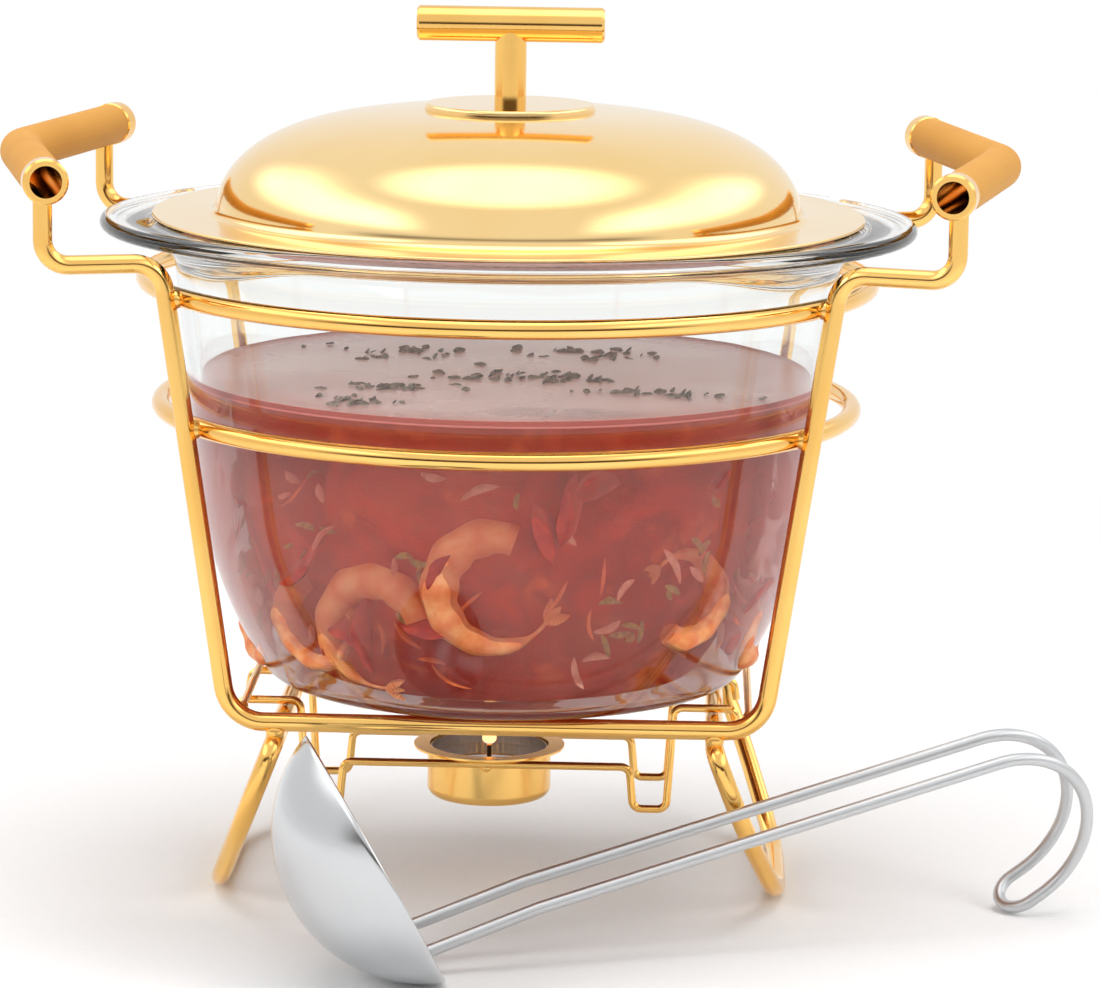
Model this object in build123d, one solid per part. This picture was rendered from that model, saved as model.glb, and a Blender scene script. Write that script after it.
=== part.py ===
"""Soup tureen with candle warmer: glass bowl with lid, wire stand, tealight holder and ladle.

Millimetres, +Z up, table at Z = 0, origin on the bowl's axis. The front of the stand faces -Y.
"""
from build123d import *
from math import atan, copysign, cos, hypot, pi, radians, sin, sqrt, tan
import os

# Stand wire
wire_d = 6.0               # frames, hoops and foot loops
rod_d = 2.6                # bowl rails and candle cradle
frame_y = 66.5             # middle of the front and rear frames, from the bowl's axis
bar_z = 65.2               # bottom bars
leg_reach = 12.7           # where the leg's line meets the bottom bar, outward from the bowl's flat
leg_lean = 8.3             # degrees that each leg leans outward
jog_z = 210.5              # level runs that carry the posts outward
post_x = 140.7
post_y = 77.0              # the level runs also spread toward the front and the rear
post_bend_r = 8.0
jog_bend_r = 10.0
bar_bend_r = 13.0
upper_hoop_z = 199.0
lower_hoop_z = 158.0
rail_inset = 1.5           # bowl rails, inward from the middle of the frame's bend
rail_angle = 52.0          # degrees below level, seen from the bend's centre
cut_past = 1.0             # how far a cut reaches past the face that it opens
weld_gap = 0.05            # between wires that the weld beads join
weld_r = 3.0               # weld beads between the heavy wires
small_weld_r = 1.9         # weld beads at the thin rods
cup_weld_r = 1.5
rail_weld_step = 3.6       # weld beads of the rails, inward from the frame
cup_weld_step = 0.8        # weld beads of the cup, outward from its wall
ladle_weld_step = 1.0      # weld beads of the ladle, outward from its shell

# Foot loops
foot_inset = 14.8          # top run of each loop, inward from the leg's line
foot_spread = 21.5         # how far outward the loop reaches at the table
foot_overhang = 4.0        # how far a loop reaches past the frame, front and rear
foot_drop = 26.0           # upright part of each side of the loop
foot_floor_half = 34.0     # half of the loop's run on the table, before its bends
foot_corner_r = 6.0
foot_bend_r = 42.0

# Grips
grip_z = 237.7
grip_apex_x = 158.5
grip_bend_r = 26.0
grip_overhang = 12.0
grip_tube_d = 11.6
grip_tube_wall = 0.8
sleeve_d = 13.6
collar_d = 14.2
collar_length = 7.0
collar_chamfer = 0.6
sleeve_clearance = 0.1

# Glass bowl
bowl_floor_r = 71.5        # flat of the underside
bowl_edge_r = 9.0          # tight bend around the flat
bowl_edge_turn = 56.5      # degrees of that bend
bowl_side_r = 128.0        # wide bend from there to the straight wall
bowl_draft = 6.2           # degrees that the wall opens upward
glass_wall = 4.0
rim_z = 219.0
rim_thickness = 5.0
rim_reach = 7.25           # oval rim past the wall, front and rear
ear_reach = 22.75          # and at each side, where it forms an ear
rim_edge_r = 2.3
rim_cove_r = 3.4
seat_clearance = 0.3       # glass above the wires that carry it

# Lid
lid_margin = 1.4           # rim that shows around the lid, front and rear
lid_sheet = 1.0
lid_edge_r = 0.45
dome_inset = 6.85          # foot of the dome, inward from the locating bead
dome_height = 34.6
dome_power = 3.5           # roundness of the dome's shoulder
lid_bead_depth = 2.6
lid_bead_width = 2.4
lid_bead_edge_r = 0.95
lid_play = 1.0             # locating bead inside the bowl's mouth
crown_r = 27.5
crown_thickness = 1.8
crown_edge_r = 1.1
handle_post_d = 10.2
handle_rise = 25.4         # middle of the handle bar above the crown plate
handle_d = 11.3
handle_length = 60.2
handle_chamfer = 0.8
screw_d = 4.0
screw_head_d = 8.0
screw_head_height = 2.6
screw_head_edge_r = 1.2
screw_slot = 1.0           # width of its slot
screw_bite = 12.0          # how far the screw reaches into the post
screw_clearance = 0.1
lid_washer_d = 13.0
lid_washer_thickness = 1.0

# Candle holder
holder_x = -4.0            # the holder hangs a little left of the middle
holder_y = -8.0
cup_d = 40.4
cup_wall = 0.7
cup_height = 17.0
cup_flange_d = 49.4
cup_corner_r = 3.0
cup_rim_z = 45.8
cradle_run_inset = 14.1    # straight run under the flange ends this far inside the arms
cradle_loop_width = 10.8
cradle_loop_slant = 1.3    # the loop's inner side leans outward by this much
cradle_loop_z = 30.0
cradle_arm_inset = 9.0     # arms, inward from the foot loops' top runs
cradle_hook_reach = 10.6   # hooks, outward from the top runs
cradle_hook_drop = 6.6
cradle_hook_slant = 1.0    # the hook's tip leans outward by this much
cradle_bend_r = 3.0
hook_clearance = 0.3

# Tealight
tealight_clearance = 0.4   # around the tealight inside the cup
tealight_wall = 0.4
tealight_height = 15.6
wax_height = 11.5
wick_d = 1.4
wick_above_wax = 4.6
sustainer_d = 13.0
sustainer_thickness = 0.4
sustainer_neck_d = 3.4
sustainer_neck_height = 4.0

# Ladle: a round bowl on a hairpin of wire that ends in a hook
ladle_r = 43.0
ladle_depth = 29.0
ladle_sheet = 1.2
ladle_wire_d = 4.0
ladle_wire_gap = 15.0      # between the middles of the two strands
ladle_root_turn = 43.13    # degrees from straight down to the strands' ends
ladle_root_inset = 1.55    # middle of a strand's end, inward from the shell's inside
ladle_cross_inset = 7.6    # middle of a strand where it leaves the bowl, inward from the rim
ladle_kink_inset = 0.5
ladle_kink_height = 37.0   # above the rim
ladle_shank = 155.0
ladle_shank_lean = 15.8    # degrees outward from the bowl's axis
ladle_kink_r = 30.0
ladle_hook_r = 29.0
ladle_hook_turn = 158.0
ladle_hook_end = 4.0
ladle_azimuth = 12.7       # lying on the table: direction that the bowl's mouth faces
ladle_elevation = 28.73    # and how far it looks up
ladle_roll = 20.6
ladle_x = -33.5
ladle_y = -129.8

wire_r = wire_d / 2
rod_r = rod_d / 2
lean = radians(leg_lean)
bar_half_x = bowl_floor_r + leg_reach
foot_x = bar_half_x - foot_inset
parts = {}


def leg_x(z):
    """Distance of a leg's middle line from the plane X = 0 at the height z."""
    return bar_half_x + tan(lean) * (z - bar_z)


def rod(path, radius):
    """Round wire along an open path."""
    start = Plane(origin=path @ 0, z_dir=path % 0)
    return sweep(start * Circle(radius), path=path)


def mirrored(piece, plane):
    """The piece and its mirror image as one solid."""
    return piece + mirror(piece, about=plane)


def cut_by(piece, *tools):
    """The piece without the space that the tools fill."""
    for tool in tools:
        piece = piece - tool
    return piece


def lathe(outline):
    """Solid turned about the Z axis from a closed outline in the XZ plane."""
    return revolve(make_face(outline), axis=Axis.Z)


def disc_z(radius, bottom, top):
    """Upright cylinder."""
    upright = Cylinder(radius, top - bottom, align=(Align.CENTER, Align.CENTER, Align.MIN))
    return Pos(0, 0, bottom) * upright


def tube_z(outer_r, inner_r, bottom, top):
    """Upright ring."""
    return disc_z(outer_r, bottom, top) - disc_z(inner_r, bottom, top)


# Grips: each is a tube bent to a shallow V, with a sleeve and a collar at each end
grip_slope = (grip_apex_x - post_x) / post_y
grip_end_y = post_y + grip_overhang


def grip_path(side, inset):
    """Middle line of a grip, shortened by the inset at both ends."""
    end_y = grip_end_y - inset
    end_x = side * (grip_apex_x - grip_slope * end_y)
    return FilletPolyline(
        (end_x, -end_y, grip_z),
        (side * grip_apex_x, 0, grip_z),
        (end_x, end_y, grip_z),
        radius=grip_bend_r,
    )


def grip_collars(side):
    """Two short rings that close off the sleeve."""
    path = grip_path(side, 0)
    rings = []
    for end, direction in ((path @ 0, path % 0), (path @ 1, (path % 1) * -1)):
        face = Plane(origin=end, z_dir=direction) * (Circle(collar_d / 2) - Circle(grip_tube_d / 2))
        ring = extrude(face, amount=collar_length)
        rings.append(chamfer(ring.edges().sort_by(SortBy.LENGTH)[-2:], collar_chamfer))
    return rings


grip_solids = {}
for side_name, side in (("left", -1), ("right", 1)):
    path = grip_path(side, 0)
    tube = rod(path, grip_tube_d / 2)
    bore = rod(path, grip_tube_d / 2 - grip_tube_wall)
    grip_solids[side_name] = tube
    parts[side_name + "_grip_tube"] = tube - bore
    collars = grip_collars(side)
    parts[side_name + "_front_grip_collar"] = collars[0]
    parts[side_name + "_rear_grip_collar"] = collars[1]
    sleeve_path = grip_path(side, collar_length)
    sleeve = rod(sleeve_path, sleeve_d / 2) - tube
    post_hole = disc_z(wire_r + sleeve_clearance, jog_z, grip_z)
    for hole_y in (-post_y, post_y):
        sleeve = sleeve - Pos(side * post_x, hole_y, 0) * post_hole
    parts[side_name + "_grip_sleeve"] = sleeve

# Front and rear frames: one long wire each, from grip to grip
rear_line = FilletPolyline(
    (0, frame_y, bar_z),
    (bar_half_x, frame_y, bar_z),
    (leg_x(jog_z), frame_y, jog_z),
    (post_x, post_y, jog_z),
    (post_x, post_y, grip_z),
    radius=[bar_bend_r, jog_bend_r, post_bend_r],
)
rear_frame = mirrored(rod(rear_line, wire_r), Plane.YZ)
frames = {"front_frame_wire": mirror(rear_frame, about=Plane.XZ), "rear_frame_wire": rear_frame}
for name, wire in frames.items():
    parts[name] = cut_by(wire, grip_solids["left"], grip_solids["right"])

# Hoops: each lies inside the four legs and touches them
hoops = {}
for name, z in (("upper_hoop", upper_hoop_z), ("lower_hoop", lower_hoop_z)):
    reach = hypot(leg_x(z), frame_y)
    hoops[name] = (reach - wire_d - weld_gap, z)
    parts[name] = Pos(0, 0, z) * Torus(hoops[name][0], wire_r)

# Foot loops: closed wires that lean outward, welded under both bars
foot_top_z = bar_z - wire_d
foot_fall = foot_top_z - wire_r
foot_lean = atan(foot_spread / foot_fall)
foot_length = hypot(foot_spread, foot_fall)
foot_half_y = frame_y + foot_overhang


def foot_point(along_y, down):
    """Point on the leaning plane of the right foot loop."""
    return (foot_x + down * sin(foot_lean), along_y, foot_top_z - down * cos(foot_lean))


foot_line = FilletPolyline(
    foot_point(0, 0),
    foot_point(foot_half_y, 0),
    foot_point(foot_half_y, foot_drop),
    foot_point(foot_floor_half, foot_length),
    foot_point(0, foot_length),
    radius=[foot_corner_r, foot_bend_r, foot_bend_r],
)
right_foot = mirrored(rod(foot_line, wire_r), Plane.XZ)
parts["right_foot_loop"] = right_foot
parts["left_foot_loop"] = mirror(right_foot, about=Plane.YZ)

# Bowl rails: thin rods in the lower corners of the frames, beside the bowl's underside
corner_z = bar_z + bar_bend_r
corner_x = leg_x(corner_z) - bar_bend_r / cos(lean)
rail_offset = bar_bend_r - rail_inset
rail_x = corner_x + rail_offset * cos(radians(rail_angle))
rail_z = corner_z - rail_offset * sin(radians(rail_angle))
rail_line = Line((rail_x, -frame_y, rail_z), (rail_x, frame_y, rail_z))
right_rail = cut_by(rod(rail_line, rod_r), *frames.values())
parts["right_bowl_rail"] = right_rail
parts["left_bowl_rail"] = mirror(right_rail, about=Plane.YZ)


def bead(x, y, z, radius, *wires):
    """Weld bead: a ball around the place where the wires meet."""
    return cut_by(Pos(x, y, z) * Sphere(radius), *wires)


hoop_beads = []
foot_beads = []
rail_beads = []
for side in (-1, 1):
    foot = parts["right_foot_loop"] if side > 0 else parts["left_foot_loop"]
    rail = parts["right_bowl_rail"] if side > 0 else parts["left_bowl_rail"]
    for frame_name, y in (("front_frame_wire", -frame_y), ("rear_frame_wire", frame_y)):
        frame = frames[frame_name]
        for hoop_name, (radius, z) in hoops.items():
            share = (radius + wire_r) / hypot(leg_x(z), frame_y)
            hoop_beads.append(
                bead(side * leg_x(z) * share, y * share, z, weld_r, frame, parts[hoop_name])
            )
        foot_beads.append(bead(side * foot_x, y, bar_z - wire_r, weld_r, frame, foot))
        bead_y = y - copysign(rail_weld_step, y)
        rail_beads.append(bead(side * rail_x, bead_y, rail_z, small_weld_r, frame, rail))
parts["hoop_weld_beads"] = Compound(children=hoop_beads)
parts["foot_weld_beads"] = Compound(children=foot_beads)
parts["rail_weld_beads"] = Compound(children=rail_beads)

# Glass bowl: its underside rests on the bottom bars
bowl_floor_z = bar_z + wire_r + seat_clearance
draft = radians(bowl_draft)
edge_turn = radians(bowl_edge_turn)
edge_centre = (bowl_floor_r, bowl_floor_z + bowl_edge_r)
side_centre = (
    edge_centre[0] - (bowl_side_r - bowl_edge_r) * sin(edge_turn),
    edge_centre[1] + (bowl_side_r - bowl_edge_r) * cos(edge_turn),
)


def bend_point(centre, radius, turn):
    """Point on a bend of the bowl's outline, after a turn from straight down."""
    return (centre[0] + radius * sin(turn), 0, centre[1] - radius * cos(turn))


def bend_arc(centre, radius, start, end):
    """Part of a bend of the bowl's outline."""
    return ThreePointArc(
        bend_point(centre, radius, start),
        bend_point(centre, radius, (start + end) / 2),
        bend_point(centre, radius, end),
    )


def bowl_wall_r(z, inset):
    """Radius of the bowl's straight wall at the height z, inset from the outside."""
    outside = side_centre[0] + (bowl_side_r - inset) / cos(draft)
    return outside + tan(draft) * (z - side_centre[1])


def bowl_body(inset, top):
    """Solid of the bowl's shape up to a height, inset from the outside."""
    floor_z = bowl_floor_z + inset
    edge = bend_arc(edge_centre, bowl_edge_r - inset, 0, edge_turn)
    side = bend_arc(side_centre, bowl_side_r - inset, edge_turn, pi / 2 - draft)
    wall = Line(side @ 1, (bowl_wall_r(top, inset), 0, top))
    return lathe([
        Line((0, 0, floor_z), edge @ 0),
        edge,
        side,
        wall,
        Line(wall @ 1, (0, 0, top)),
        Line((0, 0, top), (0, 0, floor_z)),
    ])


rim_wall_r = bowl_wall_r(rim_z, 0)
rim_half_x = rim_wall_r + ear_reach
rim_half_y = rim_wall_r + rim_reach
rim_oval = extrude(Ellipse(rim_half_x, rim_half_y), amount=rim_thickness)
rim_plate = Pos(0, 0, rim_z - rim_thickness) * rim_oval
rim_plate = fillet(rim_plate.edges(), rim_edge_r)
bowl_outside = bowl_body(0, rim_z - rim_thickness / 2) + rim_plate
cove_edges = bowl_outside.edges().filter_by(GeomType.CIRCLE).filter_by_position(
    Axis.Z, rim_z - rim_thickness - 0.1, rim_z - rim_thickness + 0.1
)
bowl_outside = fillet(cove_edges, rim_cove_r)
glass_bowl = bowl_outside - bowl_body(glass_wall, rim_z + cut_past)
parts["glass_bowl"] = glass_bowl
mouth_r = bowl_wall_r(rim_z, glass_wall)

# Lid: one pressed sheet with a flat rim, a locating bead and a domed top
lid_r = rim_half_y - lid_margin
lid_top_z = rim_z + lid_sheet
bead_outer_r = mouth_r - lid_play
dome_r = bead_outer_r - lid_bead_width - dome_inset
dome_top_z = rim_z + dome_height
crown_top_z = dome_top_z + crown_thickness
handle_z = crown_top_z + handle_rise


def dome_curve(inset):
    """Upper line of the dome, from its top to its foot, inset from the outside."""
    radius = dome_r - inset
    height = dome_height - inset
    points = []
    for step in range(10):
        angle = radians(90 * step / 9)
        points.append((radius * sin(angle) ** (2 / dome_power), 0, rim_z + height * cos(angle)))
    return Spline(*points, tangents=[(1, 0, 0), (0, 0, -1)])


dome_outside = dome_curve(0)
lid_blank = lathe([
    dome_outside,
    Line((dome_r, 0, rim_z), (0, 0, rim_z)),
    Line((0, 0, rim_z), dome_outside @ 0),
])
rim_sheet = disc_z(lid_r, rim_z, lid_top_z)
rim_sheet = fillet(rim_sheet.edges(), lid_edge_r)
bead_ring = tube_z(bead_outer_r, bead_outer_r - lid_bead_width, rim_z - lid_bead_depth, lid_top_z)
bead_ring = fillet(bead_ring.edges().group_by(Axis.Z)[0], lid_bead_edge_r)
lid_solid = lid_blank + rim_sheet
dome_inside = dome_curve(lid_sheet)
lid_hollow = lathe([
    dome_inside,
    Line(dome_inside @ 1, (dome_r - lid_sheet, 0, rim_z - cut_past)),
    Line((dome_r - lid_sheet, 0, rim_z - cut_past), (0, 0, rim_z - cut_past)),
    Line((0, 0, rim_z - cut_past), dome_inside @ 0),
])
screw_hole = disc_z(screw_d / 2 + screw_clearance, rim_z, handle_z)
parts["lid_shell"] = cut_by(lid_solid + bead_ring, lid_hollow, screw_hole)

# Crown plate, post and handle bar on the lid
crown = disc_z(crown_r, dome_top_z - crown_thickness, crown_top_z)
crown = fillet(crown.edges().group_by(Axis.Z)[-1], crown_edge_r)
parts["lid_crown_plate"] = cut_by(crown, lid_blank, screw_hole)
post = disc_z(handle_post_d / 2, crown_top_z, handle_z)
handle_bar = Pos(0, 0, handle_z) * Rot(0, 90, 0) * Cylinder(handle_d / 2, handle_length)
parts["lid_handle_bar"] = chamfer(handle_bar.edges(), handle_chamfer)
inner_top_z = dome_top_z - lid_sheet
screw_head_top = inner_top_z - lid_washer_thickness
screw_tip_z = crown_top_z + screw_bite
parts["lid_handle_post"] = cut_by(
    post, handle_bar, disc_z(screw_d / 2 + screw_clearance, crown_top_z, screw_tip_z + cut_past)
)
screw = disc_z(screw_d / 2, screw_head_top - screw_head_height, screw_tip_z)
head = disc_z(screw_head_d / 2, screw_head_top - screw_head_height, screw_head_top)
head = fillet(head.edges().group_by(Axis.Z)[0], screw_head_edge_r)
slot = Pos(0, 0, screw_head_top - screw_head_height) * Box(screw_head_d, screw_slot, screw_head_height)
parts["lid_handle_screw"] = screw + head - slot
lid_washer = tube_z(lid_washer_d / 2, screw_d / 2 + screw_clearance, screw_head_top, inner_top_z)
parts["lid_handle_washer"] = lid_washer & lid_hollow

# Candle cup: a drawn cup whose flange rests on two cradle wires
cup_r = cup_d / 2
cup_bottom_z = cup_rim_z - cup_height
cup_place = Pos(holder_x, holder_y, 0)
cup_solid = disc_z(cup_r, cup_bottom_z, cup_rim_z)
cup_solid = fillet(cup_solid.edges().group_by(Axis.Z)[0], cup_corner_r)
cup_flange = disc_z(cup_flange_d / 2, cup_rim_z - cup_wall, cup_rim_z)
cup_hollow = disc_z(cup_r - cup_wall, cup_bottom_z + cup_wall, cup_rim_z + cut_past)
cup_hollow = fillet(cup_hollow.edges().group_by(Axis.Z)[0], cup_corner_r - cup_wall)
parts["candle_cup"] = cup_place * (cup_solid + cup_flange - cup_hollow)

cradle_y = cup_r + rod_r
cradle_arm_x = foot_x - cradle_arm_inset
cradle_hook_x = foot_x + cradle_hook_reach
cradle_run_half = cradle_arm_x - cradle_run_inset
cradle_run_z = cup_rim_z - cup_wall - rod_r
hook_z = foot_top_z + wire_r + hook_clearance + rod_r
loop_inner_x = cradle_run_half + cradle_loop_slant
loop_outer_x = loop_inner_x + cradle_loop_width
cradle_line = FilletPolyline(
    (0, 0, cradle_run_z),
    (cradle_run_half, 0, cradle_run_z),
    (loop_inner_x, 0, cradle_loop_z),
    (loop_outer_x, 0, cradle_loop_z),
    (cradle_arm_x, 0, hook_z),
    (cradle_hook_x, 0, hook_z),
    (cradle_hook_x + cradle_hook_slant, 0, hook_z - cradle_hook_drop),
    radius=[cradle_bend_r] * 5,
)
cradle_wire = mirrored(rod(cradle_line, rod_r), Plane.YZ)
cup_beads = []
for name, offset in (("front_cradle_wire", -cradle_y), ("rear_cradle_wire", cradle_y)):
    wire = Pos(holder_x, holder_y + offset, 0) * cradle_wire
    parts[name] = wire
    blob_y = copysign(cup_r + cup_weld_step, offset)
    blob = Pos(0, blob_y, cradle_run_z - rod_r) * Sphere(cup_weld_r)
    blob = cut_by(blob, disc_z(cup_r, cup_bottom_z, cup_rim_z))
    cup_beads.append(cut_by(cup_place * blob, wire))
parts["cradle_weld_beads"] = Compound(children=cup_beads)

# Tealight: aluminium cup, wax, wick and the wick's sustainer, standing in the candle cup
tealight_r = cup_r - cup_wall - tealight_clearance
tealight_floor_z = cup_bottom_z + cup_wall
tealight_top_z = tealight_floor_z + tealight_height
tin = disc_z(tealight_r, tealight_floor_z, tealight_top_z)
tin = fillet(tin.edges().group_by(Axis.Z)[0], cup_corner_r)
tin_hollow_r = tealight_r - tealight_wall
wax_floor_z = tealight_floor_z + tealight_wall
tin_hollow = disc_z(tin_hollow_r, wax_floor_z, tealight_top_z + cut_past)
tin_hollow = fillet(tin_hollow.edges().group_by(Axis.Z)[0], cup_corner_r - tealight_wall)
parts["tealight_tin"] = cup_place * (tin - tin_hollow)
wax_top_z = wax_floor_z + wax_height
wax = disc_z(tin_hollow_r, wax_floor_z, wax_top_z)
wax = fillet(wax.edges().group_by(Axis.Z)[0], cup_corner_r - tealight_wall)
sustainer = disc_z(sustainer_d / 2, wax_floor_z, wax_floor_z + sustainer_thickness)
sustainer = sustainer + disc_z(sustainer_neck_d / 2, wax_floor_z, wax_floor_z + sustainer_neck_height)
wick_bottom_z = wax_floor_z + sustainer_thickness
wick = disc_z(wick_d / 2, wick_bottom_z, wax_top_z + wick_above_wax)
parts["wick_sustainer"] = cup_place * (sustainer - wick)
parts["tealight_wick"] = cup_place * wick
parts["tealight_wax"] = cup_place * cut_by(wax, sustainer, wick)

# Ladle, built upright with its mouth at Z = 0 and then laid on its side in front of the stand
ladle_ball_r = (ladle_r**2 + ladle_depth**2) / (2 * ladle_depth)
ladle_centre_z = ladle_ball_r - ladle_depth
half_gap = ladle_wire_gap / 2
root_reach = sqrt((ladle_ball_r - ladle_sheet) ** 2 - half_gap**2) - ladle_root_inset
root_turn = radians(ladle_root_turn)
ladle_root = (root_reach * sin(root_turn), ladle_centre_z - root_reach * cos(root_turn))
ladle_kink = (ladle_r - ladle_kink_inset, ladle_kink_height)


def ladle_cap(inset):
    """Solid cap of the ladle's round bowl, inset from the outside."""
    ball = Pos(0, 0, ladle_centre_z) * Sphere(ladle_ball_r - inset)
    below = Pos(0, 0, -ladle_ball_r) * Box(4 * ladle_r, 4 * ladle_r, 2 * ladle_ball_r)
    return ball & below


def ladle_point(across, place):
    """Point on one strand from its place in the plane of the hook."""
    return (place[0], across, place[1])


ladle_shell = ladle_cap(0) - ladle_cap(ladle_sheet)
shank_lean = radians(ladle_shank_lean)
shank_dir = (sin(shank_lean), cos(shank_lean))
shank_out = (cos(shank_lean), -sin(shank_lean))
shank_end = [ladle_kink[i] + ladle_shank * shank_dir[i] for i in (0, 1)]
hook_centre = [shank_end[i] + ladle_hook_r * shank_out[i] for i in (0, 1)]


def hook_point(turn):
    """Place on the hook's arc after a turn in degrees."""
    angle = radians(turn)
    return [
        hook_centre[i] + ladle_hook_r * (sin(angle) * shank_dir[i] - cos(angle) * shank_out[i])
        for i in (0, 1)
    ]


hook_turn = radians(ladle_hook_turn)
hook_dir = [cos(hook_turn) * shank_dir[i] + sin(hook_turn) * shank_out[i] for i in (0, 1)]
hook_tip = hook_point(ladle_hook_turn)
loop_start = [hook_tip[i] + ladle_hook_end * hook_dir[i] for i in (0, 1)]
loop_middle = [loop_start[i] + half_gap * hook_dir[i] for i in (0, 1)]
loop_quarter = [loop_start[i] + half_gap * sqrt(0.5) * hook_dir[i] for i in (0, 1)]
strand = FilletPolyline(
    ladle_point(half_gap, ladle_root),
    ladle_point(half_gap, (ladle_r - ladle_cross_inset, 0)),
    ladle_point(half_gap, ladle_kink),
    ladle_point(half_gap, shank_end),
    radius=ladle_kink_r,
)
hook_arc = ThreePointArc(
    ladle_point(half_gap, shank_end),
    ladle_point(half_gap, hook_point(ladle_hook_turn / 2)),
    ladle_point(half_gap, hook_tip),
)
hook_line = Line(ladle_point(half_gap, hook_tip), ladle_point(half_gap, loop_start))
loop_arc = ThreePointArc(
    ladle_point(half_gap, loop_start),
    ladle_point(half_gap * sqrt(0.5), loop_quarter),
    ladle_point(0, loop_middle),
)
half_hairpin = rod(Wire(strand.edges() + [hook_arc, hook_line, loop_arc]), ladle_wire_d / 2)
hairpin = cut_by(mirrored(half_hairpin, Plane.XZ), ladle_shell)
ladle_beads = [
    bead(ladle_root[0] + ladle_weld_step, across, ladle_root[1], small_weld_r, hairpin, ladle_shell)
    for across in (-half_gap, half_gap)
]
ladle_height = ladle_ball_r - ladle_centre_z * sin(radians(ladle_elevation))
ladle_place = (
    Pos(ladle_x, ladle_y, ladle_height)
    * Rot(0, 0, ladle_azimuth)
    * Rot(0, 90 - ladle_elevation, 0)
    * Rot(0, 0, ladle_roll)
)
parts["ladle_bowl"] = ladle_place * ladle_shell
parts["ladle_handle_wire"] = ladle_place * hairpin
parts["ladle_weld_beads"] = ladle_place * Compound(children=ladle_beads)

if __name__ == "__main__":
    os.makedirs("parts", exist_ok=True)
    for name, piece in parts.items():
        export_step(piece, f"parts/{name}.step")
        print(name, round(piece.volume, 1))
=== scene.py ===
"""Soup tureen with candle warmer: its looks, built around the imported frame.

Lengths are millimetres, and MM turns them into the frame's metres. Z is up, the table is at 0,
the bowl's axis is at X = Y = 0 and the front of the stand faces -Y.
"""

import math
import random

import bmesh
import bpy
from mathutils import Matrix, Vector


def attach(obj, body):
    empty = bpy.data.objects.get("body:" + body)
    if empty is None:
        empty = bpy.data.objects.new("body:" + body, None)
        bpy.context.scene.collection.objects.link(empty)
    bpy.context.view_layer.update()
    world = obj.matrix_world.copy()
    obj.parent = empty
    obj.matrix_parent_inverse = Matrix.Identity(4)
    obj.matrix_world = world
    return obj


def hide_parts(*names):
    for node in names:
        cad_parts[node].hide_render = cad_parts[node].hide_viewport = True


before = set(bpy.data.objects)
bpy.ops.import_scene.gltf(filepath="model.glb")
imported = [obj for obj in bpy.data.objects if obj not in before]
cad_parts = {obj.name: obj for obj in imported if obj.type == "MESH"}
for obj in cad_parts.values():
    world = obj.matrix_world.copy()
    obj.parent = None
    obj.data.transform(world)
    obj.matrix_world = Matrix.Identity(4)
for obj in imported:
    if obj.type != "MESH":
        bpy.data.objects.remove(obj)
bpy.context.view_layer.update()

bl_info = {
    "name": "Soup tureen with warmer",
    "version": (1, 0, 0),
    "blender": (4, 5, 0),
    "location": "View3D > Sidebar > Tureen",
    "description": "Dresses the tureen's frame: glass, lid, soup, gold wires, candle and ladle",
    "category": "Object",
}

MM = 0.001
SEED = 7
SIDES = 144  # faces around each turned piece

# Glass bowl, from the same values as the solids
BOWL_FLOOR_Z = 68.5
BOWL_EDGE_R = 9.0  # tight bend around the flat underside
BOWL_EDGE_TURN = 56.5  # degrees of that bend
BOWL_SIDE_R = 128.0  # wide bend up to the straight wall
BOWL_DRAFT = 6.2  # degrees that the wall opens upward
EDGE_CENTRE = (71.5, 77.5)
SIDE_CENTRE = (-27.73, 143.18)
GLASS_WALL = 4.0
RIM_Z = 219.0
RIM_HALF_X = 132.0
RIM_HALF_Y = 116.5
RIM_BEAD_R = 2.4
RIM_COVE = 3.4  # height over which the wall flares into the rim
EAR_BELLY = 9.0  # extra height of that flare under each ear
EAR_DISH = 1.3  # depth of the shallow dish in each ear
SEAT_R = 114.5  # flat that carries the lid
LIP_R = 2.0  # rounding of the mouth

# Lid
LID_R = 115.1
LID_SHEET = 1.0
DOME_R = 95.0
DOME_HEIGHT = 34.6
DOME_POWER = 3.5
LID_BEAD_R = 104.2
LID_BEAD_WIDTH = 2.4
LID_BEAD_DEPTH = 2.6

# Candle
HOLDER_X = -4.0
HOLDER_Y = -8.0
FLAME_FOOT = 45.3  # height at which the flame leaves the wick
FLAME_R = 2.5

# Ladle, lying on its side; angles in degrees
LADLE_R = 43.0
LADLE_DEPTH = 29.0
LADLE_SHEET = 1.2
LADLE_AZIMUTH = 12.7
LADLE_ELEVATION = 28.73
LADLE_ROLL = 20.6
LADLE_X = -33.5
LADLE_Y = -129.8


def wall_r(z, inset=0.0):
    """Radius of the bowl at the height z, inset from its outside."""
    side_r = BOWL_SIDE_R - inset
    draft = math.radians(BOWL_DRAFT)
    below = SIDE_CENTRE[1] - z
    if below <= side_r * math.sin(draft):
        return SIDE_CENTRE[0] + side_r / math.cos(draft) - math.tan(draft) * below
    if inset >= BOWL_EDGE_R or below <= side_r * math.cos(math.radians(BOWL_EDGE_TURN)):
        return SIDE_CENTRE[0] + math.sqrt(side_r**2 - below**2)
    edge_r = BOWL_EDGE_R - inset
    drop = min(edge_r, EDGE_CENTRE[1] - z)
    return EDGE_CENTRE[0] + math.sqrt(edge_r**2 - drop**2)


def bends(inset):
    """Points (radius, height) of the bowl's two bends, from the underside up to the straight wall."""
    turn = BOWL_EDGE_TURN - 90
    points = arc(EDGE_CENTRE, BOWL_EDGE_R - inset, -90, turn, 8)
    return points + arc(SIDE_CENTRE, BOWL_SIDE_R - inset, turn, -BOWL_DRAFT, 20)[1:]


# Meshes


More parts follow.
